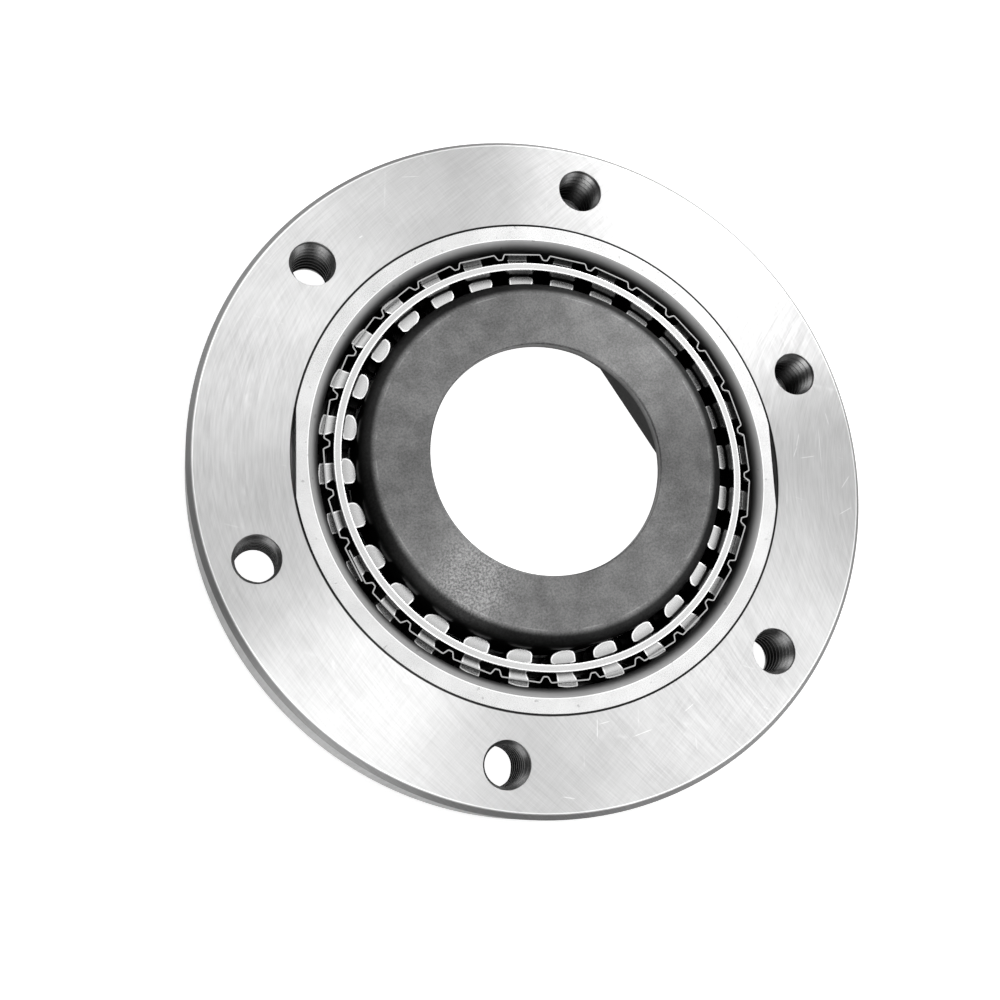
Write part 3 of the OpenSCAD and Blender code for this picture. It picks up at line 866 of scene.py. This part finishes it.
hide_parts("sprag_cage")
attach(cage, "cage_unit")
print("cage faces:", len(cage.data.polygons))

# %% [markdown]
# ## The inner race
# The dark hub is turned with a wide rounded shoulder. Behind its thin lip the bore is wider
# and has two flats for its drive. Moving the points of a round bore would bend the flats'
# corners, so a prism with the bore's outline is cut out instead.

# %% Turn the inner race and cut its drive bore
hub_outline = rounded([
    (HUB_HOLE_R, HUB_REAR, 0), (HUB_TRACK_R - HUB_CHAMFER, HUB_REAR, 0.15),
    (HUB_TRACK_R, HUB_REAR + HUB_CHAMFER, 0.15), (HUB_TRACK_R, HUB_TOP, HUB_SHOULDER),
    (HUB_HOLE_R, HUB_TOP, 0.35),
], steps=8)
flat_edge = math.degrees(math.acos(DRIVE_FLAT_R / DRIVE_BORE_R))
drive = []
for side in (DRIVE_TURN, DRIVE_TURN + 180):
    drive += arc(0, 0, DRIVE_BORE_R, side + flat_edge, side + 180 - flat_edge, 48)
hub_mesh = cut(turned("hub", hub_outline), prism("drive", drive, -1.0, HUB_TOP - HUB_LIP))
hub = to_object("hub", hub_mesh, sharp=25)
painted(hub.data, HUB_PHOSPHATE)
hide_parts("inner_race")
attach(hub, "inner_race")
print("hub faces:", len(hub.data.polygons))

# %% [markdown]
# ## The sprags
# All 28 sprags share one section, which the CAD solid already has. Its outline is read from a
# copy of the first sprag, and a new body is built on it with rounded ends, because tumbling in
# stones rounds a real sprag's edges.

# %% Read the section from the first sprag
def cad_outline(name):
    """Ordered outline of the front end of a CAD node, read from a merged copy of it."""
    work = bmesh.new()
    work.from_mesh(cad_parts[name].data)
    bmesh.ops.remove_doubles(work, verts=work.verts, dist=1e-6)
    top = max(v.co.z for v in work.verts)
    cap = [f for f in work.faces if all(abs(v.co.z - top) < 1e-6 for v in f.verts)]
    rim = {}
    for face in cap:
        corners = [loop.vert.index for loop in face.loops]
        for a, b in zip(corners, corners[1:] + corners[:1]):
            rim[(a, b)] = True
    follow = {a: b for a, b in rim if (b, a) not in rim}
    work.verts.ensure_lookup_table()
    start = next(iter(follow))
    order, here = [start], follow[start]
    while here != start:
        order.append(here)
        here = follow[here]
    points = [tuple(work.verts[i].co.xy / MM) for i in order]
    work.free()
    return points


unturn = Matrix.Rotation(math.radians(-SPRAG_START), 2)
section = [tuple(unturn @ Vector(p)) for p in cad_outline("sprag_01")]
print("section points:", len(section))

# %% Build the sprags
def inset(outline, distance):
    """Moves each point of a counter-clockwise outline inwards by distance."""
    moved = []
    for k, p in enumerate(outline):
        a, b = Vector(outline[k - 1]), Vector(outline[(k + 1) % len(outline)])
        along = (b - a).normalized()
        moved.append((p[0] - along.y * distance, p[1] + along.x * distance))
    return moved


def sprag_mesh(low, high, edge=0.08, highlight_band=0.15, fade=0.08, steps=3):
    """A body on the section with rounded ends, and an attribute that is 1 on the rounded edges of
    its ends, where a highlight is painted.
    """
    # The painted highlight covers each round and a band beside it on the end, then fades.
    rows = [(edge + highlight_band + fade, low, 0.0), (edge + highlight_band, low, 1.0)]
    for s in range(steps + 1):
        a = math.pi / 2 * s / steps
        rows.append((edge * (1 - math.sin(a)), low + edge * (1 - math.cos(a)), 1.0))
    rows += [(depth, high - (z - low), highlight) for depth, z, highlight in reversed(rows)]
    count = len(section)
    points = [(x * MM, y * MM, z * MM) for depth, z, _ in rows for x, y in inset(section, depth)]
    faces = [tuple(range(count)), tuple(range(len(points) - count, len(points)))]
    faces += [(r + k, r + (k + 1) % count, r + count + (k + 1) % count, r + count + k)
              for r in range(0, len(points) - count, count) for k in range(count)]
    mesh = new_mesh("sprag", points, faces)
    edge_highlight = mesh.attributes.new("edge_highlight", "FLOAT", "POINT")
    edge_highlight.data.foreach_set("value", [highlight for _, _, highlight in rows for _ in section])
    return mesh


master = sprag_mesh(SPRAG_LOW, SPRAG_HIGH)
for number in range(1, SPRAG_COUNT + 1):
    mesh = master.copy()
    mesh.transform(Matrix.Rotation(math.radians(SPRAG_START + (number - 1) * SPRAG_STEP), 4, "Z"))
    mesh.materials.append(SPRAG_STEEL)
    piece = to_object(f"sprag_body_{number:02d}", mesh, sharp=40)
    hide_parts(f"sprag_{number:02d}")
    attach(piece, f"sprag_{number:02d}")
print("sprag faces:", len(master.polygons))

# %% [markdown]
# ## The ribbon spring
# A strip of spring steel stands on edge round the cage. It runs straight past each sprag, dips
# between two of them, and its ends lap over one slot. Such a line is a rule, so a loop draws it
# and the strip is raised on it. The two trees that go round the axis then cut a slot for each
# sprag and set a hooked tongue in each slot.

# %% Draw the strip
def ease(t):
    """Goes smoothly from 0 to 1 and holds the ends."""
    t = min(max(t, 0.0), 1.0)
    return t * t * (3 - 2 * t)


def polar(radius, angle):
    """The point at a radius and an angle in degrees."""
    return radius * math.cos(math.radians(angle)), radius * math.sin(math.radians(angle))


def strip_line(steps=9):
    """Middle line of the strip, from its inner lapped end round to its outer one."""
    start = SPRAG_START + (LAP_SLOT - 1.5) * SPRAG_STEP
    run = math.degrees((DIP_W / 2 + LAP_RUN) / STRIP_R)
    tip = DIP_W / 7
    line = [polar(STRIP_R - LAP_DROP, start + run)]
    for n in range(1, SPRAG_COUNT + 1):
        for k in range(-steps, steps + 1):
            side = k / steps * DIP_W / 2
            drop = DIP_DEPTH * ease(1 - (abs(side) - tip) / (DIP_W / 2 - tip))
            angle = start + n * SPRAG_STEP + math.degrees(side / STRIP_R)
            line.append(polar(STRIP_R - drop, angle))
    line.append(polar(STRIP_R + LAP_LIFT, start + 360 + SPRAG_STEP - run))
    return line


print("points on the strip's line:", len(strip_line()))

# %% Raise the strip, cut its slots and set its tongues
def raised(name, line, thickness, low, high):
    """Sheet metal that stands on an open line, from height low to height high."""
    points = []
    for k, p in enumerate(line):
        along = Vector(line[min(k + 1, len(line) - 1)]) - Vector(line[max(k - 1, 0)])
        aside = Vector((along.y, -along.x)).normalized() * thickness / 2
        a, b = Vector(p) + aside, Vector(p) - aside
        points += [(side.x * MM, side.y * MM, z * MM)
                   for side, z in ((a, low), (a, high), (b, high), (b, low))]
    return square_tube(name, points)


slot = prism("slot", block(0.0, SLOT_REACH, SLOT_TRAIL, SLOT_LEAD), WINDOW_LOW, WINDOW_HIGH)
strip_mesh = go_round(raised("ribbon_strip", strip_line(), STRIP_T, STRIP_LOW, CAGE_TOP), slot,
                      CUT_ROUND, SPRAG_COUNT, PITCH_R, SPRAG_START, STRIP_STEEL)
tongue_line = [(STRIP_R - PITCH_R - STRIP_T / 2, TONGUE_Y + TONGUE_R)]
tongue_line += arc(TONGUE_X, TONGUE_Y, TONGUE_R, 90, TONGUE_END, 10)
tongue = raised("tongue", tongue_line, TONGUE_T, TONGUE_LOW, TONGUE_HIGH)
strip_mesh = go_round(strip_mesh, tongue,
                      PLACE_ROUND, SPRAG_COUNT, PITCH_R, SPRAG_START, STRIP_STEEL)
strip = to_object("ribbon_strip", strip_mesh, sharp=30)
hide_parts("ribbon_spring")
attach(strip, "cage_unit")
print("strip faces:", len(strip.data.polygons))

# %% [markdown]
# ## The snap ring
# A plain open ring in a groove keeps the cage in the race. It could be turned like the others,
# but it is hidden from the front and has no detail to add, so its CAD solid stays and only gets
# its finish.

# %% Dress the snap ring
painted(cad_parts["rear_snap_ring"].data, RING_STEEL)
print("snap ring:", RING_STEEL.name)

# %% [markdown]
# ## Floor and light
# Polished steel shows little of its own colour and mostly what it mirrors. A photographer
# therefore sets white panels round it and keeps the lamps soft. Area lamps could play the
# panels, but they would also light the dark gaps between the races. So the panels are bright
# rounds in the world that only reflections see, and one low lamp rakes across the face. The
# floor is plain and pale and takes the shadow. It also glows where the white ground shows past
# the bearing and through its holes: strongly under the bore and the near holes, a painted light
# over their shade, and weakly under the two far holes.

# %% Floor
def towards(azimuth, elevation):
    """The direction at an azimuth and an elevation in degrees."""
    a, e = math.radians(azimuth), math.radians(elevation)
    return Vector((math.cos(a) * math.cos(e), math.sin(a) * math.cos(e), math.sin(e)))


# Radii on the floor in millimetres: under the bore, under the bolt holes, beyond the flange
UNDER_BORE_R, UNDER_HOLES_R, BEYOND_R = 26.0, 42.0, 59.0
# Half the floor's width, and how far it lies below the bearing, in metres
FLOOR_HALF, FLOOR_GAP = 4, 2e-5


def floor_finish():
    """Plain pale floor with a glow that the camera, mirrors and glass see, strong under the bore
    and the near holes as painted light over their shade.
    """
    finish = bpy.data.materials.new("floor_white")
    finish.use_nodes = True
    tree = finish.node_tree
    tree.nodes.clear()
    plain = node(tree, "ShaderNodeBsdfDiffuse", {"Color": (0.85, 0.85, 0.85, 1)})
    place = node(tree, "ShaderNodeTexCoord").outputs["Object"]
    away = radius_of(tree, place)[0]
    ahead = vector_calc(tree, "DOT_PRODUCT", place, tuple(towards(35, 0)))
    # Painted light: a strong glow under the bore and the near holes lifts their shade; under the
    # two far holes it is weak.
    under_bore = ramp_mm(tree, away, UNDER_BORE_R, UNDER_BORE_R + 1, 1.8, 0.0)
    under_holes = times(tree, ramp_mm(tree, away, UNDER_HOLES_R, UNDER_HOLES_R + 0.4),
                        ramp_mm(tree, ahead, 10, 30, 1.8, 0.1),
                        ramp_mm(tree, away, BEYOND_R, BEYOND_R + 1, 1.0, 0.0))
    beyond = ramp_mm(tree, away, BEYOND_R, BEYOND_R + 1)
    lifted = calc(tree, "MAXIMUM", under_bore, calc(tree, "MAXIMUM", under_holes, beyond))
    path = node(tree, "ShaderNodeLightPath").outputs
    seen = calc(tree, "MAXIMUM", path["Is Camera Ray"],
                calc(tree, "MAXIMUM", path["Is Glossy Ray"], path["Is Transmission Ray"]))
    glow = node(tree, "ShaderNodeEmission", {
        "Color": (1, 1, 1, 1), "Strength": times(tree, seen, lifted, 0.55)})
    both = node(tree, "ShaderNodeAddShader", {0: plain.outputs[0], 1: glow.outputs[0]})
    output = node(tree, "ShaderNodeOutputMaterial")
    tree.links.new(both.outputs[0], output.inputs[0])
    return finish


floor_mesh = bpy.data.meshes.new("floor")
corners = block(-FLOOR_HALF, FLOOR_HALF, -FLOOR_HALF, FLOOR_HALF)
floor_mesh.from_pydata([(x, y, -FLOOR_GAP) for x, y in corners], [], [(0, 1, 2, 3)])
floor_mesh.materials.append(floor_finish())
floor = bpy.data.objects.new("floor", floor_mesh)
scene.collection.objects.link(floor)
print("floor:", [round(v, 2) for v in floor.dimensions], "m")

# %% World with its panels
world = bpy.data.worlds.new("studio")
scene.world = world
world.use_nodes = True
tree = world.node_tree
tree.nodes.clear()
path = node(tree, "ShaderNodeLightPath").outputs
direction = node(tree, "ShaderNodeTexCoord").outputs["Generated"]

# Panels: azimuth, elevation, half width and soft edge in degrees, strength
PANELS = (
    (21, 71, 16, 9, 1.4), (-43, 46, 12, 16, 2.8), (105, 46, 12, 16, 2.5), (28, 33, 6, 14, 0.9),
    (212, 28, 10, 18, 1.5), (220, 58, 8, 14, 4.5),
)
DARK_STUDIO, SOFT_LIGHT = 0.1, 0.75  # the world between the panels, and for rays that aren't glossy
mirrored = DARK_STUDIO
for azimuth, elevation, half, soft, strength in PANELS:
    beside = vector_calc(tree, "DOT_PRODUCT", direction, tuple(towards(azimuth, elevation)))
    rim, inside = math.cos(math.radians(half + soft)), math.cos(math.radians(half))
    mirrored = calc(tree, "MAXIMUM", mirrored, ramp(tree, beside, rim, inside, 0.0, strength))
glossy = path["Is Glossy Ray"]
lit = plus(tree, times(tree, glossy, mirrored),
           times(tree, calc(tree, "SUBTRACT", 1.0, glossy), SOFT_LIGHT))
seen = calc(tree, "MAXIMUM", path["Is Camera Ray"], path["Is Transmission Ray"])
glow = node(tree, "ShaderNodeBackground", {
    "Color": (1, 1, 1, 1), "Strength": calc(tree, "MAXIMUM", lit, seen)})
output = node(tree, "ShaderNodeOutputWorld")
tree.links.new(glow.outputs[0], output.inputs[0])
print("panels:", len(PANELS))

# %% Lamp
def lamp(name, azimuth, elevation, distance, width, height, power):
    """A soft lamp that looks at the bearing from an azimuth and elevation in degrees."""
    data = bpy.data.lights.new(name, "AREA")
    data.shape, data.size, data.size_y, data.energy = "RECTANGLE", width, height, power
    obj = bpy.data.objects.new(name, data)
    obj.location = towards(azimuth, elevation) * distance
    obj.rotation_mode = "QUATERNION"
    obj.rotation_quaternion = (-obj.location).to_track_quat("-Z", "Y")
    scene.collection.objects.link(obj)


lamp("key", azimuth=29, elevation=37, distance=0.7, width=0.5, height=0.2, power=2.4)
print("lamps:", len(bpy.data.lights))

# %% [markdown]
# ## Camera
# The photograph looks down on the face at a slant, with the camera rolled. Its place and its
# two image axes were worked out from the circles and the six holes. They go straight into the
# camera's matrix, because a Track To constraint would lose the roll.

# %% Camera
CAMERA_AT = (-0.07583, -0.03056, 0.20953)
right = Vector((0.8966, -0.3676, 0.2471)).normalized()
up = Vector((0.3150, 0.9213, 0.2281)).normalized()
back = right.cross(up).normalized()
up = back.cross(right)
camera_data = bpy.data.cameras.new("camera")
camera_data.lens, camera_data.sensor_width = 44.63, 36.0
camera_data.clip_start, camera_data.clip_end = 0.01, 10.0
camera = bpy.data.objects.new("camera", camera_data)
axes = Matrix((right, up, back)).transposed().to_4x4()
camera.matrix_world = Matrix.Translation(CAMERA_AT) @ axes
scene.collection.objects.link(camera)
scene.camera = camera
scene.view_settings.view_transform = "Standard"
print("camera distance in mm:", round(Vector(CAMERA_AT).length * 1000))
